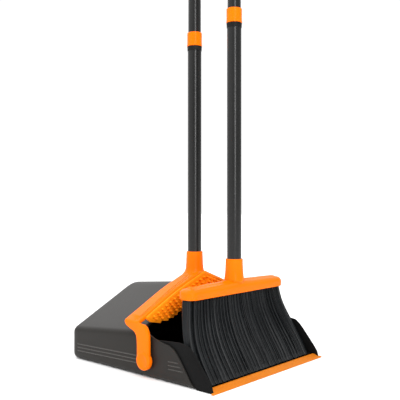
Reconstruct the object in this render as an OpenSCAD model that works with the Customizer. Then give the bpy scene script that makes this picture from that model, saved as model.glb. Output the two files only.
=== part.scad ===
// Upright dust pan with a swinging yoke handle, and a long broom parked in its mouth.
// +Z is up, the mouth looks along -Y, and the origin is the centre of the footprint.

/* [Pan] */
// Width of the housing
pan_w = 306; // [260:1:320]
// Distance from the middle of the footprint to the back wall
pan_back = 172; // [160:1:185]
// Height where the two roof slopes would meet, above the middle of the footprint
ridge_h = 145.5; // [138:0.5:147]
// Pitch of each roof side
roof_pitch = 26; // [24:0.5:27]
// How steeply the roof climbs towards the mouth
roof_climb = 5.2; // [3:0.1:6]
// Wall thickness of the housing and of the tray
wall = 2.5; // [2:0.1:3]
// Radius of the back corners in plan
corner_r = 19; // [12:1:24]
// Radius of the bottom edges
skid_r = 12; // [6:1:14]

/* [Handle] */
// Height of the pivots above the floor
pivot_z = 29; // [26:1:32]
// Pivots in front of the middle of the footprint
pivot_y = -29; // [-32:1:-26]
// Radius of the pivot pins
pin_r = 5; // [4:0.5:6]
// Top of the socket on the yoke
pan_socket_top = 195; // [188:1:205]

/* [Broom] */
// Length of the broom head
head_l = 258; // [240:2:264]
// Depth of the broom head
head_d = 32; // [32:0.5:36]
// Underside of the broom head
head_z = 129; // [126:1:131]
// Height of the solid part of the broom head
head_h = 22; // [18:1:24]
// Top of the socket on the broom head
broom_socket_top = 187; // [180:1:200]

/* [Poles] */
// Outer diameter of the lower tubes
tube_d = 25; // [24:0.5:26]
// Wall of the lower tubes
tube_wall = 0.8; // [0.7:0.1:1]
// Bottom of the lock ring on the pan's pole
pan_ring_z = 571; // [520:1:620]
// Bottom of the lock ring on the broom's pole
broom_ring_z = 597; // [540:1:640]
// Bare upper tube showing above the pan's lock ring
pan_reach = 203; // [195:1:260]
// Bare upper tube showing above the broom's lock ring
broom_reach = 304; // [270:1:340]

/* [Hidden] */
$fn = 48;

orange = [0.95, 0.45, 0.05];
grey = [0.33, 0.33, 0.33];
black = [0.07, 0.07, 0.08];

eps = 0.01;
far = 400;
pan_x = pan_w / 2;
tray_gap = 0.2;
floor_clear = 0.3;

// mouth of the housing seen from the side, from the floor up to the roof, as [y, z]
roof_front = -14;
shell_lip = [
    [-134, 0], [-124, 11], [-103, 38], [-92, 52], [-83, 58], [-59, 61], [-38, 70], [roof_front, 74]
];
// edge of the tray's wings seen from the side, from the floor up and back
wing_lip = [
    [-168, floor_clear], [-165, 12], [-156, 24], [-137, 47], [-127, 58], [-118, 65], [-100, 67],
    [-45, 64], [-20, 50], [60, 40], [pan_back - skid_r, 34]
];
rib_out = 0.6;
rib_h = 1.4;
rib_z = 20;
rib_pitch = 6;
rib_tilt = 1.6;
rib_end = 150;
rib_gap_back = -9;
rib_gap_front = -77;
rib_front = -110;
rib_step = 5;
ridge_round = 46;
eave_round = 12;
lip_front = -172;
lip_back = -155.3;
lip_top = 6;
lip_edge = 1.2;
lip_land = 4;
lip_nose = 3.8;
lip_x = 154;
lip_flange = 16;
lip_flange_x = pan_x - skid_r;
bead_r = 2;
wing_foot = -135;
wing_join = [-140, 40];

leg_in = pan_x + 1.3;
leg_out = pan_x + 9;
boss_r = 15.5;
boss_out = leg_out + 1.5;
pin_running = 0.05;
pin_deep = 6;
bar_front = -18;
bar_back = 16;
bar_slope = 0.38;
bar_bend = 75;
bar_droop = 0.12;
bar_top = 163;
bar_thick = 8;
bar_thick_mid = 14;
bar_chamfer = 3;
comb_thick = 3.5;
comb_inset = 3;
comb_low_mid = 122;
comb_low_end = 86;
comb_half = [
    [145, 93], [138, 87.2], [113, 81.8], [111.5, 85.5], [94.5, 83.4], [93, 87.5], [82, 86.5],
    [79.5, 90.5], [72.2, 89.9], [70.8, 95.3], [63, 95], [61.5, 100], [53, 99.5], [51.5, 104.5],
    [43, 104], [41.5, 109], [33, 108.5], [31.5, 113], [22, 112.5], [20.5, 117], [10, 116.5], [8.5, 120]
];
peg_cols = 14;
peg_rows = 6;
peg_pitch = 9.6;
peg_row = 7.4;
peg_start = 8.4;
peg_h = 5;
peg_foot = 2.4;
peg_tip = 1.2;
pan_pole_y = 4;
socket_wall = 2.2;
pan_flare = 4;
pan_socket_foot = 150;

broom_y = -89;
plate_h = 3;
plate_inset = 3;
end_r = 15.5;
crown_h = 7;
crown_inset = 5;
broom_flare = 3;
broom_socket_wall = 1.8;
socket_sunk = 4;

tube_r = tube_d / 2;
bore_r = tube_r - tube_wall;
upper_r = bore_r - 0.05;
upper_wall = 0.7;
seat = 38;
plug_h = 32;
ring_h = 25;
ring_r = 13.9;
ring_step = 14;
bush_h = 8;
guide_h = 30;
grip_h = 104;
grip_r = 15;
cap_disc = 6;
cap_taper = 4;
eye_z = 20;
eye_r = 12;
hang_r = 6;
hang_t = 8;
pan_hidden = 197;
broom_hidden = 256;

// bristle bundle: [height, front y, back y, half width]
bundle = [
    [head_z, -102.5, -76, 126], [98, -108, -81, 132.5], [62, -121, -94, 142.5],
    [28, -142.5, -113.5, 146], [7.2, -154, -124, 144.5]
];
slab_h = 0.4;

function arc_points(cx, cy, r, from, to, steps) =
    [for (i = [0:steps]) let (a = from + (to - from) * i / steps) [cx + r * cos(a), cy + r * sin(a)]];

// plan of the housing, drawn in by g
module plan(g) {
    x = pan_x - g;
    y = pan_back - g;
    r = corner_r - g;
    polygon(concat(
        [[-x, -far], [x, -far]],
        arc_points(x - r, y - r, r, 0, 90, 8),
        arc_points(r - x, y - r, r, 90, 180, 8)
    ));
}

// front view of the roof, drawn in by g: two slopes with a rounded ridge and eaves
module gable(g) {
    t = tan(roof_pitch);
    s = g / cos(roof_pitch);
    eave_r = eave_round - g;
    x = pan_x - g;
    h = -s;
    ex = x - eave_r;
    ez = h - t * ex - eave_r / cos(roof_pitch);
    polygon(concat(
        [[-x, -far], [x, -far]],
        arc_points(ex, ez, eave_r, 0, 90 - roof_pitch, 6),
        arc_points(0, h - ridge_round / cos(roof_pitch), ridge_round, 90 - roof_pitch, 90 + roof_pitch, 10),
        arc_points(-ex, ez, eave_r, 90 + roof_pitch, 180, 6)
    ));
}

// front view with rounded skids, drawn in by g
module skids(g) {
    x = pan_x - g;
    r = skid_r - g;
    polygon(concat(
        arc_points(r - x, g + r, r, 180, 270, 6),
        arc_points(x - r, g + r, r, 270, 360, 6),
        [[x, far], [-x, far]]
    ));
}

// side view with a rounded heel, drawn in by g
module heel(g) {
    y = pan_back - g;
    r = skid_r - g;
    polygon(concat([[-far, g]], arc_points(y - r, g + r, r, 270, 360, 6), [[y, far], [-far, far]]));
}

module along_y() {
    rotate([90, 0, 0]) linear_extrude(2 * far, center = true) children();
}

module along_x(x0, x1) {
    translate([x0, 0, 0]) rotate([90, 0, 90]) linear_extrude(x1 - x0) children();
}

module pan_form(g) {
    intersection() {
        linear_extrude(far) plan(g);
        translate([0, 0, ridge_h]) rotate([-roof_climb, 0, 0]) along_y() gable(g);
        along_y() skids(g);
        along_x(-far, far) heel(g);
    }
}

module both_sides() {
    children();
    mirror([1, 0, 0]) children();
}

module pin_holes(r) {
    along_x(-far, far) translate([pivot_y, pivot_z]) circle(r);
}

// three thin ribs on each side, broken round the pivot
module side_ribs() {
    for (i = [0:2])
        both_sides() translate([-pan_x - rib_out, 0, rib_z + rib_pitch * i]) rotate([-rib_tilt, 0, 0]) {
            start = rib_front + rib_step * i;
            translate([0, rib_gap_back, 0]) cube([2 * rib_out, rib_end - rib_gap_back, rib_h]);
            translate([0, start, 0]) cube([2 * rib_out, rib_gap_front - start, rib_h]);
        }
}

module pan_shell() {
    color(grey) {
        difference() {
            intersection() {
                difference() {
                    pan_form(0);
                    pan_form(wall);
                }
                along_x(-far, far) polygon(concat(shell_lip, [[roof_front, far], [far, far], [far, 0]]));
            }
            pin_holes(pin_r);
        }
        side_ribs();
    }
}

module pan_tray() {
    g = wall + tray_gap;
    deep = g + wall;
    color(black) {
        difference() {
            intersection() {
                pan_form(g);
                along_x(-far, far) polygon(concat(wing_lip, [[pan_back, g]]));
            }
            pan_form(deep);
            translate([-pan_x, lip_back + tray_gap - far, 0]) cube([2 * pan_x, far, far]);
            pin_holes(pin_r);
        }
        both_sides() wing();
    }
}

// the part of a wing that stands in front of the housing, down to the floor
module wing() {
    x = pan_x - wall - tray_gap;
    along_x(-x, -x + wall) polygon([
        [wing_foot, skid_r], [wing_foot, floor_clear], wing_lip[0], wing_lip[1], wing_lip[2], wing_join
    ]);
}

// ramp between the wings, a nose across their front, a bead along the ramp's back and a flange under the tray
module lip_strip() {
    between = pan_x - 2 * wall - 2 * tray_gap;
    rise = (lip_top - lip_edge) / (lip_back - lip_land - lip_front);
    flange_h = wall - eps;
    color(orange) {
        along_x(-between, between) polygon([
            [lip_front, 0], [lip_front, lip_edge], [lip_back - lip_land, lip_top],
            [lip_back - bead_r, lip_top], [lip_back - bead_r, 0]
        ]);
        along_x(-between, between) translate([lip_back - bead_r, lip_top - bead_r]) circle(bead_r);
        along_x(-between, between) translate([lip_back - bead_r, 0]) square([bead_r, lip_top - bead_r]);
        along_x(-lip_x, lip_x) polygon([
            [lip_front, 0], [lip_front, lip_edge],
            [lip_front + lip_nose, lip_edge + lip_nose * rise], [lip_front + lip_nose, 0]
        ]);
        along_x(-lip_flange_x, lip_flange_x) translate([lip_back - eps, 0])
            square([lip_flange + eps, flange_h]);
    }
}

module pivot_pin() {
    inner = pan_x - 2 * wall - tray_gap;
    color(black) translate([0, pivot_y, pivot_z]) rotate([0, -90, 0]) {
        translate([0, 0, inner]) cylinder(h = leg_in + pin_deep - 0.5 - inner, r = pin_r);
        translate([0, 0, inner - 1.6]) cylinder(h = 1.6, r = pin_r + 3);
    }
}

module pivot_pin_left() {
    pivot_pin();
}

module pivot_pin_right() {
    mirror([1, 0, 0]) pivot_pin();
}

// side plate of the yoke: boss, leg and the shoulder under the crossbar, as [y, z]
module leg() {
    along_x(-leg_out, -leg_in) polygon([
        [pivot_y - boss_r + 1, pivot_z], [-41.5, 60], [-41, 72], [-38, 80], [-34, 84.5], [-28, 87.5],
        [bar_front, 88], [bar_back, 88], [bar_back, 84], [7, 79.5],
        [-5, 76.5], [-11, 71], [-13, 62], [pivot_y + boss_r - 0.5, pivot_z]
    ]);
    translate([0, pivot_y, pivot_z]) rotate([0, -90, 0]) {
        translate([0, 0, leg_in]) cylinder(h = leg_out - leg_in, r = boss_r);
        translate([0, 0, leg_out - eps]) cylinder(h = boss_out - leg_out, r1 = boss_r - 0.5, r2 = boss_r - 3);
    }
}

// height of the crossbar's top, which falls faster beyond the bend
function bar_line(x) = bar_top - bar_slope * abs(x) - bar_droop * max(0, abs(x) - bar_bend);

module crossbar() {
    end = leg_out;
    top = bar_line(end);
    translate([0, bar_front, 0]) rotate([90, 0, 0]) mirror([0, 0, 1]) linear_extrude(bar_back - bar_front)
        polygon([
            [-end, top - bar_thick], [-end, top - bar_chamfer], [bar_chamfer - end, top],
            [-bar_bend, bar_line(bar_bend)], [0, bar_top], [bar_bend, bar_line(bar_bend)],
            [end - bar_chamfer, top], [end, top - bar_chamfer], [end, top - bar_thick],
            [0, bar_top - bar_thick_mid]
        ]);
}

// tapered socket outside, standing on z0
module socket_cone(y, z0, z1, foot_r, top_r) {
    translate([0, y, z0]) cylinder(h = z1 - z0, r1 = foot_r, r2 = top_r);
}

module yoke() {
    color(orange) difference() {
        union() {
            crossbar();
            both_sides() leg();
            socket_cone(pan_pole_y, pan_socket_foot, pan_socket_top,
                tube_r + socket_wall + pan_flare, tube_r + socket_wall);
        }
        translate([0, pan_pole_y, pan_socket_top - seat]) cylinder(h = far, r = tube_r);
        translate([0, pivot_y, pivot_z]) rotate([0, 90, 0])
            cylinder(h = 2 * (leg_in + pin_deep), r = pin_r + pin_running, center = true);
    }
}

function comb_top(x) = bar_line(x) - comb_inset;

// height the pegs stay above, a straight line under the stepped edge
function comb_low(x) = max(comb_low_end, comb_low_mid - bar_slope * abs(x));

module comb() {
    last = len(comb_half) - 1;
    end = comb_half[0][0];
    left = [for (p = comb_half) [-p[0], p[1]]];
    right = [for (i = [0:last]) comb_half[last - i]];
    color(orange) {
        translate([0, bar_front, 0]) rotate([90, 0, 0]) linear_extrude(comb_thick)
            polygon(concat(left, right, [
                [end, comb_top(end)], [bar_bend, comb_top(bar_bend)], [0, comb_top(0)],
                [-bar_bend, comb_top(bar_bend)], [-end, comb_top(end)]
            ]));
        for (row = [0:peg_rows - 1], side = [-1, 1], col = [0:peg_cols - 1]) {
            x = side * (col + 0.5 + (row % 2) / 2) * peg_pitch;
            z = comb_top(x) - peg_start - row * peg_row;
            if (z > comb_low(x))
                translate([x, bar_front - comb_thick + eps, z]) rotate([90, 0, 0])
                    cylinder(h = peg_h, r1 = peg_foot, r2 = peg_tip, $fn = 16);
        }
    }
}

module tube(y, z0, z1, r, w) {
    translate([0, y, z0]) difference() {
        cylinder(h = z1 - z0, r = r);
        translate([0, 0, -1]) cylinder(h = z1 - z0 + 2, r = r - w);
    }
}

module lower_tube(y, z0, ring_z) {
    color(grey) tube(y, z0, ring_z + ring_step, tube_r, tube_wall);
}

module tube_plug(y, z0) {
    color(black) translate([0, y, z0]) cylinder(h = plug_h, r = bore_r);
}

module tube_bush(y, ring_z) {
    color(black) translate([0, y, ring_z - bush_h - 0.4]) difference() {
        cylinder(h = bush_h, r1 = tube_r + 0.5, r2 = ring_r);
        translate([0, 0, -1]) cylinder(h = bush_h + 2, r = tube_r);
    }
}

module lock_ring(y, ring_z) {
    color(orange) translate([0, y, ring_z]) difference() {
        cylinder(h = ring_h, r = ring_r);
        translate([0, 0, -1]) cylinder(h = ring_step + 1.2, r = tube_r + 0.06);
        translate([0, 0, -1]) cylinder(h = ring_h + 2, r = upper_r + 0.08);
    }
}

module upper_tube(y, z0, z1) {
    color(grey) tube(y, z0, z1, upper_r, upper_wall);
}

// plug inside the foot of an upper tube, which keeps it straight in the lower one
module tube_guide(y, z0) {
    color(black) {
        translate([0, y, z0]) cylinder(h = guide_h, r = upper_r - upper_wall);
        translate([0, y, z0 - 3]) cylinder(h = 3, r = upper_r);
    }
}

module grip(y, z) {
    color(black) translate([0, y, z]) difference() {
        cylinder(h = grip_h, r = grip_r);
        translate([0, 0, -1]) cylinder(h = grip_h + 2, r = upper_r);
    }
}

module hang_cap(y, z) {
    color(orange) translate([0, y, z]) difference() {
        union() {
            cylinder(h = cap_disc, r = grip_r);
            translate([0, 0, cap_disc]) cylinder(h = cap_taper, r1 = grip_r, r2 = hang_t / 2 + cap_disc);
            rotate([90, 0, 0]) translate([0, eye_z, 0]) cylinder(h = hang_t, r = eye_r, center = true);
            translate([-eye_r, -hang_t / 2, cap_disc]) cube([2 * eye_r, hang_t, eye_z - cap_disc]);
        }
        rotate([90, 0, 0]) translate([0, eye_z, 0]) cylinder(h = far, r = hang_r, center = true);
    }
}

module pan_tube_plug() {
    tube_plug(pan_pole_y, pan_socket_top - seat);
}

module pan_tube_lower() {
    lower_tube(pan_pole_y, pan_socket_top - seat, pan_ring_z);
}

module pan_tube_bush() {
    tube_bush(pan_pole_y, pan_ring_z);
}

module pan_lock_ring() {
    lock_ring(pan_pole_y, pan_ring_z);
}

module pan_tube_upper() {
    upper_tube(pan_pole_y, pan_ring_z + ring_h - pan_hidden, pan_ring_z + ring_h + pan_reach + grip_h);
}

module pan_tube_guide() {
    tube_guide(pan_pole_y, pan_ring_z + ring_h - pan_hidden);
}

module pan_grip() {
    grip(pan_pole_y, pan_ring_z + ring_h + pan_reach);
}

module pan_hang_cap() {
    hang_cap(pan_pole_y, pan_ring_z + ring_h + pan_reach + grip_h);
}

// plan of the broom head, drawn in by g
module head_plan(g) {
    hull() for (s = [-1, 1], t = [-1, 1])
        translate([s * (head_l / 2 - end_r), t * (head_d / 2 - end_r)]) circle(end_r - g);
}

module broom_head() {
    crown = head_z + head_h;
    color(orange) difference() {
        union() {
            translate([0, broom_y, head_z]) hull() {
                linear_extrude(head_h - crown_h) head_plan(0);
                linear_extrude(head_h) head_plan(crown_inset);
            }
            socket_cone(broom_y, crown - socket_sunk, broom_socket_top,
                tube_r + socket_wall + broom_flare, tube_r + broom_socket_wall);
        }
        translate([0, broom_y, broom_socket_top - seat]) cylinder(h = far, r = tube_r);
        translate([0, broom_y, head_z - 1]) linear_extrude(plate_h + 1) head_plan(plate_inset);
    }
}

module tuft_plate() {
    color(black) translate([0, broom_y, head_z]) linear_extrude(plate_h) head_plan(plate_inset);
}

module bundle_slab(s) {
    depth = s[2] - s[1];
    r = depth / 2;
    translate([0, (s[1] + s[2]) / 2, s[0] - slab_h])
        for (side = [-1, 1]) translate([side * (s[3] - r), 0, 0]) cylinder(h = slab_h, r = r, $fn = 24);
}

module bristles() {
    color(black) for (i = [0:len(bundle) - 2]) hull() {
        bundle_slab(bundle[i]);
        bundle_slab(bundle[i + 1]);
    }
}

module broom_tube_plug() {
    tube_plug(broom_y, broom_socket_top - seat);
}

module broom_tube_lower() {
    lower_tube(broom_y, broom_socket_top - seat, broom_ring_z);
}

module broom_tube_bush() {
    tube_bush(broom_y, broom_ring_z);
}

module broom_lock_ring() {
    lock_ring(broom_y, broom_ring_z);
}

module broom_tube_upper() {
    upper_tube(broom_y, broom_ring_z + ring_h - broom_hidden, broom_ring_z + ring_h + broom_reach + grip_h);
}

module broom_tube_guide() {
    tube_guide(broom_y, broom_ring_z + ring_h - broom_hidden);
}

module broom_grip() {
    grip(broom_y, broom_ring_z + ring_h + broom_reach);
}

module broom_hang_cap() {
    hang_cap(broom_y, broom_ring_z + ring_h + broom_reach + grip_h);
}

pan_shell();
pan_tray();
lip_strip();
pivot_pin_left();
pivot_pin_right();
yoke();
comb();
pan_tube_plug();
pan_tube_lower();
pan_tube_bush();
pan_lock_ring();
pan_tube_upper();
pan_tube_guide();
pan_grip();
pan_hang_cap();
broom_head();
tuft_plate();
bristles();
broom_tube_plug();
broom_tube_lower();
broom_tube_bush();
broom_lock_ring();
broom_tube_upper();
broom_tube_guide();
broom_grip();
broom_hang_cap();
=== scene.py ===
import math

import bmesh
import bpy
import numpy as np
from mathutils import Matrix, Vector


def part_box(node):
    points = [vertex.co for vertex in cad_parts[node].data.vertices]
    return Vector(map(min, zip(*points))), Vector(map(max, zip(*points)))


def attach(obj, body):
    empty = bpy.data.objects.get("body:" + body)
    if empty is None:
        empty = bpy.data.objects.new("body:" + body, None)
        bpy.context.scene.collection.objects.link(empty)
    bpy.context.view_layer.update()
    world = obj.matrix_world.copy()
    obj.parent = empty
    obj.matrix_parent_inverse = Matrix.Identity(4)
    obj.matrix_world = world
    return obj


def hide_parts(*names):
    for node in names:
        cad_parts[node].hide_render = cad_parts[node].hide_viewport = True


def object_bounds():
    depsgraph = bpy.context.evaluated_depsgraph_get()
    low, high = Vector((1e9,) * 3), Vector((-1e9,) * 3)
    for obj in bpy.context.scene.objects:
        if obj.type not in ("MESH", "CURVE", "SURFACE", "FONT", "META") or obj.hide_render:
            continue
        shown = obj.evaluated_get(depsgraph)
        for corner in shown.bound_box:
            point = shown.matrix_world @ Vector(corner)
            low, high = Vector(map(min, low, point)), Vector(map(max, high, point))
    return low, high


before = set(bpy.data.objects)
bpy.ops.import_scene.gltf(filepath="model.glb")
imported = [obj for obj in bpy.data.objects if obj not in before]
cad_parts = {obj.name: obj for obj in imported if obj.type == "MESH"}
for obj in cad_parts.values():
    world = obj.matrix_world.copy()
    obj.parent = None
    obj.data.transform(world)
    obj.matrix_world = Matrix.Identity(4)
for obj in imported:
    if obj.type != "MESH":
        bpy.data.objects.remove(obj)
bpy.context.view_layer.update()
mm = 0.001
print("frame loaded:", len(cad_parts), "nodes")


def gridFaces(rows, cols):
    # quads between neighbouring rows, with the last column joined to the first
    r, c = np.meshgrid(np.arange(rows - 1), np.arange(cols), indexing="ij")
    n = (c + 1) % cols
    return np.stack([r * cols + c, r * cols + n, (r + 1) * cols + n, (r + 1) * cols + c], -1).reshape(-1, 4)


def gridPart(points):
    rows, cols = points.shape[:2]
    return points.reshape(-1, 3), gridFaces(rows, cols)


def closedPart(points):
    # a grid whose first and last rows are drawn together to their middles
    ends = points.mean(1, keepdims=True) + 0 * points
    return gridPart(np.concatenate([ends[:1], points, ends[-1:]]))


def manyParts(points):
    # points is (copies, rows, cols, 3): the same grid of faces again for each copy
    copies, rows, cols = points.shape[:3]
    starts = np.arange(copies) * rows * cols
    faces = gridFaces(rows, cols)[None] + starts[:, None, None]
    return points.reshape(-1, 3), faces.reshape(-1, 4)


def buildPiece(name, parts, material, body, node, sharp=32, weld=2e-6):
    # welds the seams and poles of the parts, turns the faces outwards and puts the piece on its body
    starts = np.cumsum([0] + [len(v) for v, f in parts])
    verts = np.concatenate([v for v, f in parts]) * mm
    faces = np.concatenate([f + s for (v, f), s in zip(parts, starts)])
    mesh = bpy.data.meshes.new(name)
    mesh.from_pydata(verts.tolist(), [], faces.tolist())
    bm = bmesh.new()
    bm.from_mesh(mesh)
    bmesh.ops.remove_doubles(bm, verts=bm.verts, dist=weld)
    bmesh.ops.recalc_face_normals(bm, faces=bm.faces)
    bm.to_mesh(mesh)
    bm.free()
    mesh.shade_smooth()
    mesh.set_sharp_from_angle(angle=math.radians(sharp))
    mesh.materials.append(material)
    piece = bpy.data.objects.new(name, mesh)
    bpy.context.scene.collection.objects.link(piece)
    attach(piece, body)
    if node:
        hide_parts(node)
    return piece


def softCorners(corners, cuts, steps=5, closed=True):
    # each corner becomes a curve that leaves one side and joins the next, and starts and ends
    # its own cut away from the corner
    p = np.asarray(corners, float)
    cut = np.broadcast_to(np.asarray(cuts, float), (len(p),))[:, None]
    before, after = np.roll(p, 1, 0) - p, np.roll(p, -1, 0) - p
    a = p + before / np.linalg.norm(before, axis=1, keepdims=True) * cut
    b = p + after / np.linalg.norm(after, axis=1, keepdims=True) * cut
    t = np.linspace(0, 1, steps)[None, :, None]
    curve = (1 - t) ** 2 * a[:, None] + 2 * t * (1 - t) * p[:, None] + t ** 2 * b[:, None]
    if not closed:
        return np.concatenate([p[:1], curve[1:-1].reshape(-1, 2), p[-1:]])
    return curve.reshape(-1, 2)


def lathe(profile, y, sides=64):
    # profile of (radius, height) turned about an upright axis
    a = np.linspace(0, 2 * np.pi, sides, endpoint=False)
    r, z = np.asarray(profile, float).T
    ring = np.stack([r[:, None] * np.cos(a), y + r[:, None] * np.sin(a), z[:, None] + 0 * a], -1)
    return gridPart(ring)


def closeProfile(profile):
    return np.concatenate([profile, profile[:1]])


def smoothStep(t):
    t = np.clip(t, 0, 1)
    return t * t * (3 - 2 * t)


def squircle(angle, power):
    # cosine and sine, both flattened by the power, so that a circle turns into a rounded square
    c, s = np.cos(angle), np.sin(angle)
    return np.stack([np.sign(c) * np.abs(c) ** power, np.sign(s) * np.abs(s) ** power], -1)


class Wire:
    # one output socket; Python's arithmetic on it adds Math nodes
    def __init__(self, recipe, socket):
        self.recipe, self.socket = recipe, socket

    def maths(self, operation, *values):
        return self.recipe.add("ShaderNodeMath", {"operation": operation}, dict(enumerate(values)))

    def __add__(self, other):
        return self.maths("ADD", self, other)

    def __radd__(self, other):
        return self.maths("ADD", other, self)

    def __sub__(self, other):
        return self.maths("SUBTRACT", self, other)

    def __rsub__(self, other):
        return self.maths("SUBTRACT", other, self)

    def __mul__(self, other):
        return self.maths("MULTIPLY", self, other)

    def __rmul__(self, other):
        return self.maths("MULTIPLY", other, self)


class Recipe:
    # a material's node tree; add() makes any node, with its settings first and then its sockets
    def __init__(self, name, owner=None, shader="Principled BSDF"):
        self.material = owner or bpy.data.materials.new(name)
        self.material.use_nodes = True
        self.tree = self.material.node_tree
        self.shader = self.tree.nodes[shader]
        self.place = self.add("ShaderNodeTexCoord", {}, {}, "Object")

    def add(self, kind, settings, values, output=0):
        node = self.tree.nodes.new(kind)
        for key, value in settings.items():
            setattr(node, key, value)
        for key, value in values.items():
            self.feed(node.inputs[key], value)
        return Wire(self, node.outputs[output])

    def feed(self, socket, value):
        if isinstance(value, Wire):
            self.tree.links.new(value.socket, socket)
        elif isinstance(value, (tuple, list)) and len(value) == 3 and socket.type == "RGBA":
            socket.default_value = (*value, 1)
        else:
            socket.default_value = value

    def noise(self, scale, detail=3.0, stretch=(1, 1, 1), roughness=0.5):
        spot = self.add("ShaderNodeMapping", {}, {"Vector": self.place, "Scale": stretch})
        return self.add("ShaderNodeTexNoise", {}, {"Vector": spot, "Scale": scale, "Detail": detail,
                                                   "Roughness": roughness}, "Fac")

    def cells(self, scale):
        return self.add("ShaderNodeTexVoronoi", {}, {"Vector": self.place, "Scale": scale}, "Distance")

    def blend(self, factor, low, high):
        return self.add("ShaderNodeMix", {"data_type": "RGBA"}, {0: factor, 6: low, 7: high}, 2)

    def span(self, value, low, high):
        return self.add("ShaderNodeMapRange", {}, {"Value": value, "From Min": low, "From Max": high})

    def axis(self, letter):
        return self.add("ShaderNodeSeparateXYZ", {}, {"Vector": self.place}, letter)

    def bump(self, height, strength, distance):
        return self.add("ShaderNodeBump", {}, {"Height": height, "Strength": strength, "Distance": distance})

    def finish(self, **sockets):
        for key, value in sockets.items():
            self.feed(self.shader.inputs[key.replace("_", " ")], value)
        return self.material


orangeFinish = {"deep": (0.94, 0.162, 0.0), "light": (1.0, 0.182, 0.0), "roughness": 0.38, "coat": 0.05}
# the comb's copy of the orange is paler and yellower than the rest: painted light, lifting the comb out of
# the shade it sits in under the crossbar and the broom head
combPaintedLightFinish = {"deep": (1.0, 0.26, 0.004), "light": (1.0, 0.29, 0.008), "roughness": 0.42, "coat": 0.0}


def orangePlastic(name, finish):
    # moulded plastic: slow clouds shift the colour and the gloss, wear dulls it and a grain lifts it
    m = Recipe(name)
    clouds = m.noise(9, 2)
    grain = m.noise(900, 2)
    wear = m.noise(60, 5, roughness=0.65)
    colour = m.blend(m.span(clouds, 0.35, 0.65), finish["deep"], finish["light"])
    rough = finish["roughness"] + (clouds - 0.5) * 0.12 + m.span(wear, 0.6, 0.75) * 0.12
    return m.finish(Base_Color=colour, Roughness=rough, Normal=m.bump(grain, 0.10, 0.0002),
                    Coat_Weight=finish["coat"], Coat_Roughness=0.12, Specular_IOR_Level=0.06)


lipFinish = {"deep": (0.58, 0.155, 0.004), "light": (0.64, 0.185, 0.008), "dust": (0.60, 0.23, 0.04)}


def lipRubber():
    # soft rubber: clouds and long streaks mix the two oranges, and specks of dust lie on top
    m = Recipe("lipRubber")
    clouds = m.noise(25, 3)
    grain = m.noise(1400, 3)
    streak = m.noise(120, 3, (0.08, 1, 1))
    colour = m.blend(m.span(clouds + streak, 0.7, 1.3), lipFinish["deep"], lipFinish["light"])
    dusty = m.span(m.noise(300, 5, roughness=0.7), 0.62, 0.72) * 0.35
    colour = m.blend(dusty, colour, lipFinish["dust"])
    return m.finish(Base_Color=colour, Roughness=0.52 + (clouds - 0.5) * 0.2,
                    Normal=m.bump(grain + streak * 0.5, 0.22, 0.0003), Specular_IOR_Level=0.12)


hoodFinish = {"deep": (0.0135, 0.0118, 0.0100), "light": (0.0205, 0.018, 0.0155), "roughness": 0.42}
# the ribs take a paler, glossier copy of the hood's grey: a painted highlight for the light that catches
# their raised tops
ribHighlightFinish = {"deep": (0.05, 0.047, 0.043), "light": (0.075, 0.07, 0.065), "roughness": 0.32}
scuffTone = (0.045, 0.042, 0.04)


def hoodPlastic(name, finish):
    # textured plastic: clouds mix two greys, scuffs pale and dull it, grain and pebbles lift it
    m = Recipe(name)
    clouds = m.noise(7, 3)
    grain = m.noise(1600, 3)
    scuff = m.span(m.noise(90, 6, (0.25, 1, 1), 0.7), 0.62, 0.74)
    colour = m.blend(m.span(clouds, 0.3, 0.7), finish["deep"], finish["light"])
    colour = m.blend(scuff * 0.3, colour, scuffTone)
    rough = finish["roughness"] + (clouds - 0.5) * 0.14 + scuff * 0.12
    return m.finish(Base_Color=colour, Roughness=rough, Specular_IOR_Level=0.18,
                    Normal=m.bump(grain + m.cells(1100) * 0.8, 0.16, 0.00025))


def blackPlastic(name, tone, rough):
    # plain black: clouds a little darker and lighter than the tone, with pale scratches across
    m = Recipe(name)
    clouds = m.noise(14, 3)
    grain = m.noise(1300, 3)
    scratch = m.span(m.noise(70, 5, (1, 0.15, 1), 0.7), 0.6, 0.72)
    deep, light, pale = (tone * 0.7, tone * 0.7, tone * 0.72), (tone * 1.4,) * 3, (tone * 4,) * 3
    colour = m.blend(m.span(clouds, 0.3, 0.7), deep, light)
    colour = m.blend(scratch * 0.3, colour, pale)
    return m.finish(Base_Color=colour, Roughness=rough + (clouds - 0.5) * 0.15 + scratch * 0.1,
                    Normal=m.bump(grain, 0.18, 0.0002), Specular_IOR_Level=0.09)


tubeFinish = {"deep": (0.0065, 0.0065, 0.0063), "light": (0.010, 0.010, 0.0098), "rubbed": (0.025,) * 3}


def coatedTube():
    # powder-coated steel: a fine orange peel, a faint draw along the tube and rubbed places
    m = Recipe("coatedTube")
    clouds = m.noise(11, 3, (1, 1, 0.3))
    peel = m.noise(520, 2)
    draw = m.noise(700, 3, (1, 1, 0.01))
    rub = m.span(m.noise(45, 6, (1, 1, 0.12), 0.7), 0.62, 0.76)
    colour = m.blend(m.span(clouds, 0.3, 0.7), tubeFinish["deep"], tubeFinish["light"])
    colour = m.blend(rub * 0.4, colour, tubeFinish["rubbed"])
    return m.finish(Base_Color=colour, Roughness=0.25 + (clouds - 0.5) * 0.1 + rub * 0.1,
                    Normal=m.bump(peel + draw * 0.4, 0.08, 0.0002), Specular_IOR_Level=0.34)


gripFinish = {"deep": (0.010,) * 3, "light": (0.018,) * 3}


def gripRubber():
    # matt rubber: clouds mix two blacks, with fine pits
    m = Recipe("gripRubber")
    clouds = m.noise(20, 3)
    colour = m.blend(m.span(clouds, 0.3, 0.7), gripFinish["deep"], gripFinish["light"])
    return m.finish(Base_Color=colour, Roughness=0.72 + (clouds - 0.5) * 0.15,
                    Normal=m.bump(m.cells(700), 0.35, 0.0003), Sheen_Weight=0.15)


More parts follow.
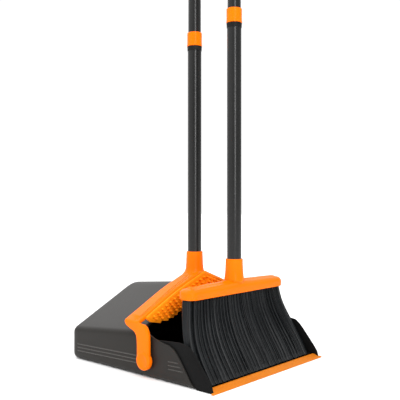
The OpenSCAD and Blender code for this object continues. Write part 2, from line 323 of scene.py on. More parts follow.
fibreFinish = {"deep": (0.0014, 0.0018, 0.0022), "light": (0.0070, 0.0088, 0.0102),
               "tuft": (0.013, 0.015, 0.016), "tip": (0.02, 0.021, 0.022)}


def bristleFibre():
    # strands run up and down, so the pattern is drawn out along the height; tufts and tips are paler
    m = Recipe("bristleFibre")
    strands = m.noise(900, 3, (1, 1, 0.04))
    tuftTone = m.noise(60, 2, (1, 1, 0.1))
    colour = m.blend(m.span(strands, 0.35, 0.7), fibreFinish["deep"], fibreFinish["light"])
    colour = m.blend(m.span(tuftTone, 0.45, 0.7) * 0.4, colour, fibreFinish["tuft"])
    tip = m.span(m.axis("Z"), 0.03, 0.006)
    colour = m.blend(tip * 0.15, colour, fibreFinish["tip"])
    return m.finish(Base_Color=colour, Roughness=0.38 + (strands - 0.5) * 0.2,
                    Normal=m.bump(strands, 0.2, 0.0003), Specular_IOR_Level=0.19)


orange = orangePlastic("orangePlastic", orangeFinish)
combPaintedLightOrange = orangePlastic("combPaintedLightOrange", combPaintedLightFinish)
lipOrange = lipRubber()
hoodGrey = hoodPlastic("hoodPlastic", hoodFinish)
ribHighlightGrey = hoodPlastic("ribPaintedHighlight", ribHighlightFinish)
trayBlack = blackPlastic("blackPlastic", 0.004, 0.55)
fittingBlack = blackPlastic("fittingBlack", 0.010, 0.45)
tubeGrey = coatedTube()
gripBlack = gripRubber()
fibre = bristleFibre()
print("materials made")


view = {"azimuth": 48.453, "distance": 1.1623, "height": 0.289, "aside": 0.007, "lens": 56.97, "reach": 50}


def makeCamera():
    # looks level, so the poles stay upright
    a = math.radians(view["azimuth"])
    ahead = np.array([math.sin(a), math.cos(a), 0])
    right = np.array([math.cos(a), -math.sin(a), 0])
    data = bpy.data.cameras.new("camera")
    data.lens = view["lens"]
    data.clip_end = view["reach"]
    camera = bpy.data.objects.new("camera", data)
    spot = right * view["aside"] - ahead * view["distance"]
    camera.location = (spot[0], spot[1], view["height"])
    camera.rotation_euler = (math.pi / 2, 0, -a)
    bpy.context.scene.collection.objects.link(camera)
    bpy.context.scene.camera = camera


lamps = [
    {"name": "key", "at": (-1.6, -1.9, 2.4), "size": (1.6, 1.6), "power": 11},
    {"name": "strip", "at": (-0.674, -1.035, 0.68), "size": (0.15, 0.9), "power": 6.0},
    {"name": "back", "at": (0.3, 2.2, 2.2), "size": (1.8, 1.8), "power": 8},
]


def makeLamps(target):
    for lamp in lamps:
        data = bpy.data.lights.new(lamp["name"], "AREA")
        data.shape = "RECTANGLE"
        data.size, data.size_y = lamp["size"]
        data.energy = lamp["power"]
        light = bpy.data.objects.new(lamp["name"], data)
        light.location = lamp["at"]
        away = light.location - target
        light.rotation_euler = away.to_track_quat("Z", "Y").to_euler()
        bpy.context.scene.collection.objects.link(light)


room = {"dim": 0.48, "ahead": 0.65, "top": 1.15, "left": 0.65, "seen": 1.05, "floorHalf": 9}


def makeRoom():
    # lights with a white wall ahead, a broad light overhead and another on the left in a dimmer
    # room, and is plain white where the camera sees it
    world = bpy.data.worlds.new("room")
    m = Recipe("room", world, "Background")
    a = math.radians(view["azimuth"])
    ahead = m.axis("X") * math.sin(a) + m.axis("Y") * math.cos(a)
    aside = m.axis("X") * math.cos(a) - m.axis("Y") * math.sin(a)
    glow = room["dim"] + m.span(ahead, 0.6, 0.9) * room["ahead"]
    glow = glow + m.span(m.axis("Z"), 0.25, 0.8) * room["top"]
    glow = glow + m.span(aside, -0.25, -0.75) * room["left"]
    seen = m.add("ShaderNodeLightPath", {}, {}, "Is Camera Ray")
    m.finish(Color=(1, 1, 1, 1), Strength=glow * (1 - seen) + seen * room["seen"])
    bpy.context.scene.world = world


def makeFloor():
    half = room["floorHalf"]
    mesh = bpy.data.meshes.new("floor")
    corners = [(-half, -half, 0), (half, -half, 0), (half, half, 0), (-half, half, 0)]
    mesh.from_pydata(corners, [], [(0, 1, 2, 3)])
    floor = bpy.data.objects.new("floor", mesh)
    m = Recipe("paleFloor")
    colour = m.blend(m.noise(3, 2), (0.985, 0.985, 0.985), (1, 1, 1))
    mesh.materials.append(m.finish(Base_Color=colour, Roughness=0.8, Specular_IOR_Level=0.1))
    bpy.context.scene.collection.objects.link(floor)


bpy.context.scene.view_settings.view_transform = "Standard"
makeCamera()
low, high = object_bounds()
makeLamps(low.lerp(high, 0.25))
makeRoom()
makeFloor()
print("camera, lamps and floor made")


def nodeBox(node):
    lo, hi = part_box(node)
    return np.array(lo) / mm, np.array(hi) / mm


shellHigh = nodeBox("pan_shell")[1]
hood = {
    "halfWidth": shellHigh[0] - 0.6,
    "back": shellHigh[1],
    "ridge": 145.5,
    "pitch": 26.0,
    "climb": 5.2,
    "wall": 2.5,
    "backCurve": 15.0,
    "roofFront": -14.0,
    "rimOut": 0.6,
    "floorCut": 12,
    "eaveCut": 8.5,
    "ridgeCut": 24,
    "cornerSteps": 9,
    "sideSteps": 12,
    # where the height of each line of points is read to find its place on the mouth's edge
    "readAt": -50,
    # edge of the mouth from the floor to the eave, as (y, z)
    "mouth": [(-134, 0), (-124, 11), (-103, 38), (-92, 51), (-83, 57), (-70, 59.5), (-59, 62),
              (-47, 66.5), (-38, 71), (-14, 80)],
}


def hoodSection(inset, ridge):
    # front view of floor, walls and gabled roof, drawn in by inset, with every corner rounded; it
    # starts at the middle of the floor
    pitch = math.radians(hood["pitch"])
    x = hood["halfWidth"] - inset
    peak = ridge - inset / math.cos(pitch)
    eave = peak - math.tan(pitch) * x
    corners = [(0, inset), (-x, inset), (-x, eave), (0, peak), (x, eave), (x, inset)]
    floorCut, eaveCut = hood["floorCut"] - inset, hood["eaveCut"] - 0.6 * inset
    cuts = np.maximum([20, floorCut, eaveCut, hood["ridgeCut"] - 0.3 * inset, eaveCut, floorCut], 0.4)
    points = softCorners(corners, cuts, hood["cornerSteps"])
    share = np.linspace(0, 1, hood["sideSteps"], endpoint=False)[:, None]
    pieces = []
    for i, (a, b) in enumerate(zip(points, np.roll(points, -1, 0))):
        endOfCorner = i % hood["cornerSteps"] == hood["cornerSteps"] - 1
        pieces.append(a + (b - a) * share if endOfCorner else a[None])
    return np.concatenate(pieces)


def hoodPoints(rows):
    # rows of (inset, share of the way from the mouth to where the back starts to curve, y past it);
    # the roof falls towards the back, and each point falls by its own share of the ridge's fall
    low, high = hood["ridge"], hood["ridge"] + 10
    lift = math.tan(math.radians(hood["climb"]))
    mouth = softCorners(hood["mouth"], 4, 5, closed=False)
    start = hood["back"] - hood["backCurve"]
    out = []
    for inset, share, past in rows:
        a, b = hoodSection(inset, low), hoodSection(inset, high)
        rise = (b - a) / (high - low)
        front = a - rise * lift * hood["readAt"]
        edge = np.interp(front[:, 1], mouth[:, 1], mouth[:, 0])
        edge = np.where(front[:, 1] > mouth[-1, 1], hood["roofFront"], edge)
        y = edge + (start - edge) * share + past
        xz = a - rise * (lift * y)[:, None]
        out.append(np.stack([xz[:, 0], y, xz[:, 1]], -1))
    return np.array(out)


def hoodShell(inset):
    # one skin from the mouth to the middle of the back wall
    r = hood["backCurve"] - inset
    steps = [(inset, share, 0) for share in np.linspace(0, 1, 26)]
    turn = np.radians(np.linspace(0, 90, 8))[1:]
    steps += [(inset + r * (1 - math.cos(a)), 1, r * math.sin(a)) for a in turn]
    skin = hoodPoints(steps)
    centre = np.array([0, skin[-1, 0, 1], skin[-1, :, 2].mean()])
    shrink = np.linspace(1, 0, 8)[1:, None, None]
    wall = centre + (skin[-1] - centre)[None] * shrink
    return np.concatenate([skin, wall])


def panHood():
    outer, inner = hoodShell(0.0), hoodShell(hood["wall"])
    rim = (outer[0] + inner[0]) / 2 - [0, hood["rimOut"], 0]
    whole = np.concatenate([inner[::-1], rim[None], outer])
    return buildPiece("pan_hood", [gridPart(whole)], hoodGrey, "pan", "pan_shell", sharp=40)


sideRibs = {"count": 3, "out": 1.05, "sink": 0.15, "root": 0.9, "height": 2.0, "z": 20.6, "pitch": 6.0,
            "tilt": 1.6, "taper": 2.5, "rear": (-10, 153), "front": (-110, -77), "step": 5}


def ribBar(side, start, end, z):
    # low rounded bar with tapered ends, its root sunk into the wall
    y = np.linspace(start, end, 60)
    ends = np.clip(np.minimum(y - start, end - y) / sideRibs["taper"], 0, 1)[:, None] ** 0.5
    middle = (z - y * math.tan(math.radians(sideRibs["tilt"])))[:, None]
    around = np.linspace(0, np.pi, 9)
    face = hood["halfWidth"] - sideRibs["sink"]
    x = face + (sideRibs["out"] + sideRibs["sink"]) * ends * np.sin(around)
    root = np.full((len(y), 1), hood["halfWidth"] - sideRibs["root"])
    x = np.concatenate([x, root], 1)
    z = np.concatenate([middle + sideRibs["height"] / 2 * ends * np.cos(around), middle], 1)
    return gridPart(np.stack(np.broadcast_arrays(side * x, y[:, None], z), -1))


def panRibs():
    # three raised lines on each side wall, broken round the pivot; the front ones start in a step
    parts = []
    for i in range(sideRibs["count"]):
        z = sideRibs["z"] + sideRibs["pitch"] * i
        front = (sideRibs["front"][0] + sideRibs["step"] * i, sideRibs["front"][1])
        for start, end in (sideRibs["rear"], front):
            for side in (-1, 1):
                parts.append(ribBar(side, start, end, z))
    # the ribs' paler grey is a painted highlight, not a colour of their own
    return buildPiece("side_ribs", parts, ribHighlightGrey, "pan", None)


trayHigh = nodeBox("pan_tray")[1]
tray = {
    "outer": trayHigh[0],
    "wall": 2.5,
    "floor": (2.8, 5.2),
    "curl": 3.0,
    "clear": 0.4,
    "front": -155.3,
    "back": 162.0,
    # top edge of a wing from the lip backwards, as (y, z)
    "top": [(-168, 0.6), (-165, 12), (-156, 24), (-137, 47), (-127, 58), (-118, 64.5), (-100, 67),
            (-45, 64), (-20, 50), (60, 40), (162, 34)],
    # bottom edge of a wing: on the floor in front of the hood, inside it further back
    "bottom": [(-168, 0.3), (-136, 0.3), (-128, 9), (162, 9)],
}


def trayWing(side):
    # upright plate between its two edges, with a rounded top
    edge = softCorners(tray["top"], 3.5, 6, closed=False)
    y = np.concatenate([np.linspace(-168, -95, 74), np.linspace(-94, 162, 60)])
    top = np.interp(y, edge[:, 0], edge[:, 1])
    bottom = np.minimum(np.interp(y, *np.array(tray["bottom"], float).T), top - 0.2)
    height = (top - bottom)[:, None]
    half = tray["wall"] / 2
    a = np.linspace(0, np.pi, 7)
    x = tray["outer"] - half + half * np.concatenate([np.cos(a), -np.cos(a)])
    share = np.concatenate([0 * a + 1, 0 * a])
    crown = np.concatenate([np.sin(a) - 1, 0 * a])
    z = bottom[:, None] + height * share + crown * np.minimum(half, height / 3)
    return closedPart(np.stack(np.broadcast_arrays(side * x, y[:, None], z), -1))


def trayFloor():
    # slab whose sides turn up into the wings
    width = tray["outer"] - tray["clear"]
    x = np.linspace(-1, 1, 41) * width
    turn = np.clip((np.abs(x) - (width - tray["curl"])) / tray["curl"], 0, 0.98)
    lift = tray["curl"] * (1 - np.sqrt(1 - turn ** 2))
    under, over = tray["floor"]
    loopX = np.concatenate([x, x[::-1]])
    loopZ = np.concatenate([under + lift, (over + lift)[::-1]])
    y = np.linspace(tray["front"], tray["back"], 20)
    return closedPart(np.stack(np.broadcast_arrays(loopX, y[:, None], loopZ), -1))


def panTray():
    parts = [trayWing(-1), trayWing(1), trayFloor()]
    return buildPiece("pan_tray", parts, trayBlack, "pan", "pan_tray")


lipLow, lipHigh = nodeBox("lip_strip")
lip = {
    "front": lipLow[1],
    "back": -155.3,
    "top": lipHigh[2],
    "edge": 1.3,
    "rampEnd": 6.5,
    "rampDrop": 1.0,
    "nose": 3.8,
    "between": 147.5,
    "flange": 16,
    "flangeHalf": 141.0,
    "cuts": [0.3, 0.5, 0.5, 0.3, 0.5, 1.6, 0.3, 0.3, 0.3],
    # last stations towards an end, as (x, size of the section)
    "ends": [(150, 1), (152, 1), (153.4, 1), (153.8, 0.985), (154, 0.93), (154, 0)],
}


def lipStrip():
    # ramp with a blunt front edge and a rounded back; past the wings only its nose goes on, and the
    # flange stops short of them
    f, b, t, edge = lip["front"], lip["back"], lip["top"], lip["edge"]
    rampBack, rampTop = b - lip["rampEnd"], t - lip["rampDrop"]
    flangeBack = b + lip["flange"]
    outline = [(f, 0.0), (f, edge), (rampBack, rampTop), (rampBack + 0.7, rampTop + 0.1), (b - 4.5, t),
               (b, t), (b, 2.5), (flangeBack, 2.4), (flangeBack, 0.0)]
    profile = softCorners(outline, lip["cuts"], 6)
    places = [(0, 1), (40, 1), (80, 1), (120, 1)]
    places += [(stop + past, 1) for stop in (lip["flangeHalf"], lip["between"]) for past in (0, 0.02)]
    steps, grow = np.array(places + lip["ends"], float).T
    x, grow = np.concatenate([-steps[:0:-1], steps]), np.concatenate([grow[:0:-1], grow])
    within = [np.abs(x) <= lip["flangeHalf"], np.abs(x) <= lip["between"]]
    limit = np.select(within, [flangeBack, b], f + lip["nose"])[:, None]
    y, z = profile.T
    ramp = np.where(limit < rampBack, edge + (limit - f) * (rampTop - edge) / (rampBack - f), t)
    z = np.where(y > limit, np.minimum(z, ramp), z + 0 * limit)
    y = np.minimum(y, limit)
    centre = np.stack([y.mean(1), z.mean(1)], -1)[:, None]
    yz = centre + (np.stack([y, z], -1) - centre) * grow[:, None, None]
    grid = np.concatenate([np.broadcast_to(x[:, None, None], yz.shape[:2] + (1,)), yz], -1)
    return buildPiece("lip_strip", [gridPart(grid)], lipOrange, "pan", "lip_strip")


panHood()
panRibs()
panTray()
lipStrip()
print("pan made")


yokeHigh = nodeBox("yoke")[1]
yoke = {
    "legIn": 154.3,
    "legOut": 162.0,
    "pivot": (-29.0, 29.0),
    "boss": 15.5,
    "top": 163.0,
    "slope": 0.38,
    "bend": 75.0,
    "bendWidth": 8,
    "droop": 0.12,
    "thick": 8.4,
    "thickMiddle": 14.0,
    "foot": 13.5,
    "poleY": 4.0,
    "socketTop": yokeHigh[2],
    "socketFoot": 147,
    "bore": 12.6,
    "socketWall": 2.3,
    "socketDepth": 38,
    "rounding": 4.5,
    # front and back of a leg as it leans out into the crossbar's depth, as (z, y)
    "legFront": [(29, -42.5), (45, -41.8), (60, -41.5), (72, -41), (80, -38), (84, -34.5), (88, -28),
                 (91, -18)],
    "legBack": [(29, -13.5), (52, -13.5), (62, -13), (69, -11.5), (74, -7.5), (77, 0), (80, 8), (84, 15),
                (88, 16)],
    # distance of each groove from the front edge, against the distance from the middle
    "grooves": [([30, 69, 113, 155], [9, 6.2, 5.2, 5]), ([30, 64, 106, 132, 154], [14.5, 11.5, 9.5, 8.6, 8])],
    "grooveDepth": 1.7,
    "grooveFrom": 24,
    # rim and dish of the disc on a leg's foot, as (change of radius, distance out from the leg)
    "disc": [(-0.6, 0.1), (-1.6, 0.7), (-3.2, 1.3), (-5.0, 1.5), (-5.8, 1.1)],
}


def barTop(x):
    # top of the crossbar: straight down from the middle and faster beyond the bend, with the
    # change spread over a little width
    past = (np.abs(x) - yoke["bend"]) / yoke["bendWidth"]
    return yoke["top"] - yoke["slope"] * np.abs(x) - yoke["droop"] * yoke["bendWidth"] * np.logaddexp(0, past)


def yokeStations():
    # from the foot of the left leg up to the middle: the outer and inner edge of the band in front
    # view, and its front and back
    lo, li = yoke["legOut"], yoke["legIn"]
    innerZ = barTop(li) - yoke["thick"]
    py, pz = yoke["pivot"]
    r = yoke["foot"]
    foot = pz - r * np.cos(np.radians(np.linspace(4, 90, 12)))
    z = np.concatenate([foot, np.linspace(pz, innerZ, 16)[1:]])
    corner = [(-lo, innerZ), (-lo, barTop(lo)), (-li + 3, barTop(li - 3))]
    bend = softCorners(corner, [0.1, 3.6, 0.1], 12, closed=False)[1:-1]
    x = -np.concatenate([np.linspace(li - 4, 14, 40), np.linspace(12, 0, 6)])
    over = barTop(np.maximum(-x, 9))
    under = np.interp(-x, [0, li], [yoke["top"] - yoke["thickMiddle"], innerZ])
    outer = np.concatenate([np.stack([-lo + 0 * z, z], -1), bend, np.stack([x, over], -1)])
    inner = np.concatenate([np.stack([-li + 0 * z, z], -1), np.broadcast_to([-li, innerZ], bend.shape),
                            np.stack([x, under], -1)])
    below = np.minimum(outer[:, 1], pz) - pz
    footFront = np.sqrt(np.maximum(r * r - below ** 2, 0.3))
    footBack = np.sqrt(yoke["boss"] ** 2 - below ** 2)
    # leg and corner read their depth at their height, and the crossbar keeps the uppermost one
    onLeg = np.arange(len(outer)) < len(z) + len(bend)
    height = np.where(onLeg, outer[:, 1], yoke["top"])
    front = np.interp(height, *np.array(yoke["legFront"], float).T)
    back = np.interp(height, *np.array(yoke["legBack"], float).T)
    front = np.where(height < pz, py - footFront, front)
    back = np.where(height < pz, py + footBack, back)
    return outer, inner, front, back


def sweepBand(outer, inner, front, back, grooves, sink):
    # rounded rectangle between the two edges, a across its thickness and b across its depth; the
    # rounding keeps its size whatever the thickness, and two grooves of depth sink run along the
    # top at their own distances from the front
    across = outer - inner
    thick = np.linalg.norm(across, axis=1)[:, None]
    depth = (back - front)[:, None]
    unit = across / thick
    r = np.minimum(yoke["rounding"], np.minimum(thick, depth) * 0.42)
    turn = np.radians(np.linspace(0, 90, 7))
    c, s = np.cos(turn), np.sin(turn)
    flat = np.linspace(0, 1, 5)[:-1]
    spots = (grooves[:, :, None] + [-1.0, -0.3, 0.3, 1.0]).reshape(len(r), -1)
    spots = np.sort(np.clip(spots, r + 0.1, depth - r - 0.1), 1)
    dip = np.tile([0, 1, 1, 0], grooves.shape[1]) * sink[:, None]
    a = np.concatenate([r + (thick - 2 * r) * flat, thick - r + r * s, thick - dip, thick - r + r * c,
                        r - r * s, r - r * c[:-1]], 1)
    b = np.concatenate([0 * r + 0 * flat, r - r * c, spots, depth - r + r * s, depth - r + r * c,
                        r - r * s[:-1]], 1)
    x = inner[:, :1] + unit[:, :1] * a
    z = inner[:, 1:] + unit[:, 1:] * a
    return np.stack([x, front[:, None] + b, z], -1)


def yokeBand():
    # one band up the left leg, over the roof and down the right leg
    outer, inner, front, back = yokeStations()
    away = np.abs(outer[:, 0])
    starting = np.clip((away - yoke["grooveFrom"]) / 8, 0, 1)
    ending = np.clip((yoke["legOut"] - 6 - away) / 6, 0, 1)
    grooves = np.stack([np.interp(away, *line) for line in yoke["grooves"]], -1)
    left = sweepBand(outer, inner, front, back, grooves, yoke["grooveDepth"] * starting * ending)
    right = left[::-1][1:] * [-1, 1, 1]
    return closedPart(np.concatenate([left, right]))


def bossDisc(side):
    # disc through the foot of the leg, with a softened rim and a shallow dish over the pivot
    r = yoke["boss"]
    deep = yoke["legOut"] - yoke["legIn"]
    inside = [(0, -deep), (r - 1.0, -deep), (r - 0.2, 0.8 - deep), (r, 2 - deep), (r, -0.8)]
    outside = [(r + change, out) for change, out in yoke["disc"]]
    verts, faces = lathe(np.array(inside + outside + [(0, 0.8)]), 0, 56)
    y, z = verts[:, 0] + yoke["pivot"][0], verts[:, 1] + yoke["pivot"][1]
    return np.stack([-verts[:, 2] - yoke["legOut"], y, z], -1) * [side, 1, 1], faces


def socketCone(poleY, top, foot, wide, flare, root):
    # tapered socket: out along its root, given as (radius, height over the foot), up over a rounded
    # mouth and down the bore
    bore = yoke["bore"]
    z = np.linspace(foot, top - 1.2, 30)
    share = (z - foot) / (top - foot)
    wall = bore + yoke["socketWall"]
    r = wall + (wide - wall) * (1 - share) ** 1.3 + flare * np.exp(-((z - foot) / 9) ** 2)
    under = np.array(root, float) + [0, foot]
    floor = top - yoke["socketDepth"]
    mouth = [(wall - 0.25, top - 0.4), (wall - 1.0, top), (bore + 0.5, top), (bore, top - 0.6), (bore, floor),
             (0, floor)]
    return lathe(np.concatenate([under, np.stack([r, z], -1), mouth]), poleY, 72)


def panYoke():
    socket = socketCone(yoke["poleY"], yoke["socketTop"], yoke["socketFoot"], 17.2, 9, [(0, 4), (6, 4)])
    parts = [yokeBand(), bossDisc(1), bossDisc(-1), socket]
    return buildPiece("handle_yoke", parts, orange, "handle", "yoke", sharp=50)


comb = {
    "half": 145.0,
    "back": -18.0,
    "thick": 3.5,
    "drop": 3.0,
    "soft": 0.9,
    # stepped lower edge of one half, from the middle outwards, as (x, z)
    "edge": [(0, 120), (8.5, 120), (10, 116.5), (20.5, 117), (22, 112.5), (31.5, 113), (33, 108.5),
             (41.5, 109), (43, 104), (51.5, 104.5), (53, 99.5), (61.5, 100), (63, 95), (70.8, 95.3),
             (72.2, 89.9), (79.5, 90.5), (82, 86.5), (93, 87.5), (94.5, 83.4), (111.5, 85.5),
             (113, 81.8), (138, 87.2), (145, 93)],
    "columns": 14,
    "rows": 6,
    "pitch": 9.6,
    "row": 7.4,
    "start": 8.4,
    "low": (86, 122),
    "root": 1.0,
    # a peg from its foot to its tip, as (radius, height)
    "peg": [(2.4, 0.0), (1.7, 3.822), (1.2, 4.557), (0.72, 4.9), (0, 4.9)],
    "railDrop": 3.4,
    "railHeight": 1.0,
    "railHalf": 1.1,
}


def combTop(x):
    return barTop(x) - comb["drop"]


def combPlate():
    # plate with a stepped lower edge; the section at each x is a rounded slab
    edge = np.array(comb["edge"])
    x = np.unique(np.concatenate([np.linspace(0, comb["half"], 120), edge[:, 0]]))
    x = np.concatenate([-x[:0:-1], x])
    low = np.interp(np.abs(x), edge[:, 0], edge[:, 1])[:, None]
    top = combTop(x)[:, None]
    turn = np.radians(np.linspace(0, 180, 7))
    t = comb["thick"] / 2
    soft = comb["soft"] - comb["soft"] * np.sin(turn)
    y = comb["back"] - t + t * np.concatenate([-np.cos(turn), np.cos(turn)])
    z = np.concatenate([top - soft, low + soft], 1)
    return closedPart(np.stack(np.broadcast_arrays(x[:, None], y, z), -1))


def combPegs():
    # blunt cones in staggered rows that follow the slope, as far down as the plate goes
    col, row = np.meshgrid(np.arange(comb["columns"]), np.arange(comb["rows"]), indexing="ij")
    x = ((col + 0.5 + (row % 2) / 2) * comb["pitch"]).ravel()
    z = combTop(x) - comb["start"] - row.ravel() * comb["row"]
    keep = z > np.maximum(comb["low"][0], comb["low"][1] - yoke["slope"] * x)
    x, z = x[keep], z[keep]
    x, z = np.concatenate([x, -x])[:, None, None], np.concatenate([z, z])[:, None, None]
    a = np.linspace(0, 2 * np.pi, 10, endpoint=False)
    foot = (comb["peg"][0][0], -comb["root"])
    r, out = np.array([foot] + comb["peg"]).T[:, None, :, None]
    face = comb["back"] - comb["thick"]
    px, pz = x + r * np.cos(a), z + r * np.sin(a)
    return manyParts(np.stack([px, face - out + 0 * px, pz], -1))


def combRail():
    # thin rounded rail along the top of the plate
    x = np.linspace(-comb["half"] + 4, comb["half"] - 4, 90)
    turn = np.radians(np.linspace(0, 180, 7))
    y = comb["back"] - comb["thick"] + 0.4 - comb["railHeight"] * np.sin(turn)
    z = (combTop(x) - comb["railDrop"])[:, None] + comb["railHalf"] * np.cos(turn)
    return closedPart(np.stack(np.broadcast_arrays(x[:, None], y, z), -1))


def dustComb():
    parts = [combPlate(), combPegs(), combRail()]
    # the comb wears the paler copy of the orange, painted light against the shade it sits in
    return buildPiece("dust_comb", parts, combPaintedLightOrange, "handle", "comb", sharp=45)


panYoke()
dustComb()
print("yoke and comb made")


headLow, headHigh = nodeBox("broom_head")
broomHead = {
    "y": (headLow[1] + headHigh[1]) / 2,
    "half": headHigh[0],
    "depth": (headHigh[1] - headLow[1]) / 2,
    "low": headLow[2],
    "high": 150.5,
    "socketTop": headHigh[2],
    "endCurve": 15.5,
    "rimCurve": 10.0,
    "crown": 2.5,
    # from the recess in the underside round the lower rim, as (inset, height over the underside)
    "under": [(4.0, 3), (3.6, 0.5), (2.8, 0), (1.0, 0), (0.2, 0.6), (0.0, 1.6)],
    # root of the socket, as (radius, height over its foot)
    "root": [(0, -9), (12.5, -9), (15.2, -6.5), (16.6, -3.5), (17.1, -1.4)],
}


def stadium(inset):
    # rounded rectangle in plan, drawn in by inset, with the same count of points whatever the inset
    l, d = broomHead["half"] - inset, broomHead["depth"] - inset
    r = np.minimum(max(broomHead["endCurve"] - inset, 0.05), d)
    turn = np.radians(np.linspace(90, 0, 14))
    quarter = np.stack([l - r + r * np.sin(turn), d - r + r * np.cos(turn)], -1)
    straight = np.linspace(l - r, -(l - r), 48)[1:-1]
    top = np.stack([straight, d + 0 * straight], -1)
    half = np.concatenate([quarter, top, (quarter * [-1, 1])[::-1]])
    return np.concatenate([half, half[::-1] * [1, -1]])


def broomBlock():
    # rows climb from the recess in the underside, round the rim and over the crown
    low, high, r = broomHead["low"], broomHead["high"], broomHead["rimCurve"]
    shoulder = high - broomHead["crown"]
    rows = [(broomHead["depth"], low + broomHead["under"][0][1])]
    rows += [(inset, low + up) for inset, up in broomHead["under"]]
    turn = np.radians(np.linspace(0, 90, 9))
    rows += [(r * (1 - math.cos(a)), shoulder - r + r * math.sin(a)) for a in turn]
    rows += [(r + (broomHead["depth"] - r) * s, shoulder + broomHead["crown"] * math.sin(s * math.pi / 2))
             for s in np.linspace(0, 1, 7)[1:]]
    out = []
    for inset, z in rows:
        plan = stadium(inset)
        # the crown swells into the socket and falls a little towards the ends
        share = np.clip((z - (high - 13)) / 13, 0, 1)
        swell = 2.2 * np.exp(-(plan[:, 0] / 26) ** 2) - 2.6 * (plan[:, 0] / broomHead["half"]) ** 2
        out.append(np.stack([plan[:, 0], plan[:, 1] + broomHead["y"], z + share * swell], -1))
    return gridPart(np.array(out))


def makeBroomHead():
    foot = broomHead["high"] - 1
    socket = socketCone(broomHead["y"], broomHead["socketTop"], foot, 16.6, 0.8, broomHead["root"])
    parts = [broomBlock(), socket]
    return buildPiece("broom_block", parts, orange, "broom", "broom_head", sharp=45)


tufts = {
    "columns": 32,
    "rows": 4,
    "steps": 22,
    # the bundle from the block down to the tips, as (height, front y, back y, half width)
    "bundle": [(129, -102.5, -76, 126.5), (110, -104.8, -77.5, 129.5), (95, -108, -81.5, 133),
               (80, -113.5, -87, 138), (62, -121.5, -94.5, 142.5), (45, -131.5, -103.5, 145.5),
               (28, -142, -113, 146), (15, -150, -120, 145.4), (7.0, -154.4, -124, 144.5)],
    "cover": 4,
    "sideCover": 5.4,
    "radius": (3.5, 4.5),
    "oval": 0.92,
    "lobes": 7,
    "flute": 0.07,
    "sides": 21,
    "seed": 11,
}
strays = {"front": 10, "back": 6, "end": 8, "endFrom": 125, "radius": 0.42, "reach": (0.85, 1.08),
          "rise": 1.6}


def tuftPaths():
    # where each tuft runs: straight out of its hole, then swept forwards and spread sideways as it
    # comes down
    key = np.array(tufts["bundle"], float)[::-1]
    z = np.linspace(key[0, 0], key[-1, 0], tufts["steps"])[::-1]
    share = np.linspace(0, 1, tufts["steps"])
    between = (share > 0.05) & (share < 0.97)
    kernel = np.array([1, 2, 3, 2, 1]) / 9
    lines = []
    for column in key.T[1:]:
        line = np.interp(z, key[:, 0], column)
        lines.append(np.where(between, np.convolve(np.pad(line, 2, mode="edge"), kernel, "valid"), line))
    front, back, half = lines
    across, through = np.linspace(-1, 1, tufts["columns"]), np.linspace(0, 1, tufts["rows"])
    col, row = np.meshgrid(across, through, indexing="ij")
    col, row = col.ravel(), row.ravel()
    # the end columns pull in to follow the rounded block
    inset = np.where(np.abs(col) > 0.97, 0.22, 0)
    row = row * (1 - 2 * inset) + inset
    x = col[:, None] * (half - tufts["sideCover"])
    y = front + tufts["cover"] + (back - front - 2 * tufts["cover"]) * row[:, None]
    return x, y, z


def tuftRadius(t):
    # a tuft grows from the first radius at its hole to the second at its tip
    thin, wide = tufts["radius"]
    return thin + (wide - thin) * t ** 0.8


def bristleTufts():
    # fluted tufts that wander a little, with ragged tips
    rng = np.random.default_rng(tufts["seed"])
    x, y, z = tuftPaths()
    n, steps = x.shape
    t = np.linspace(0, 1, steps)
    wobble = rng.normal(0, 1, (n, 1)) * 0.2 * np.sin(t * np.pi) + rng.normal(0, 1, (n, 1)) * 0.35 * t ** 2
    x = x + wobble
    y = y + rng.normal(0, 1, (n, 1)) * 0.3 * t ** 2
    a = np.linspace(0, 2 * np.pi, tufts["sides"], endpoint=False)
    phase = rng.uniform(0, 2 * np.pi, (n, 1, 1))
    flute = 1 + tufts["flute"] * np.cos(tufts["lobes"] * a + phase + 1.5 * t[:, None])
    r = tuftRadius(t)[:, None] * flute
    px = x[:, :, None] + r * np.cos(a)
    py = y[:, :, None] + tufts["oval"] * r * np.sin(a)
    pz = z[:, None] + 0 * px
    pz[:, -1] += rng.uniform(0, 1, (n, len(a)))
    body = np.stack([px, py, pz], -1)
    top = body[:, :1].mean(2, keepdims=True) + 0 * body[:, :1]
    tip = body[:, -1:].mean(2, keepdims=True) + 0 * body[:, -1:] + [0, 0, 0.6]
    return manyParts(np.concatenate([top, body, tip], 1))


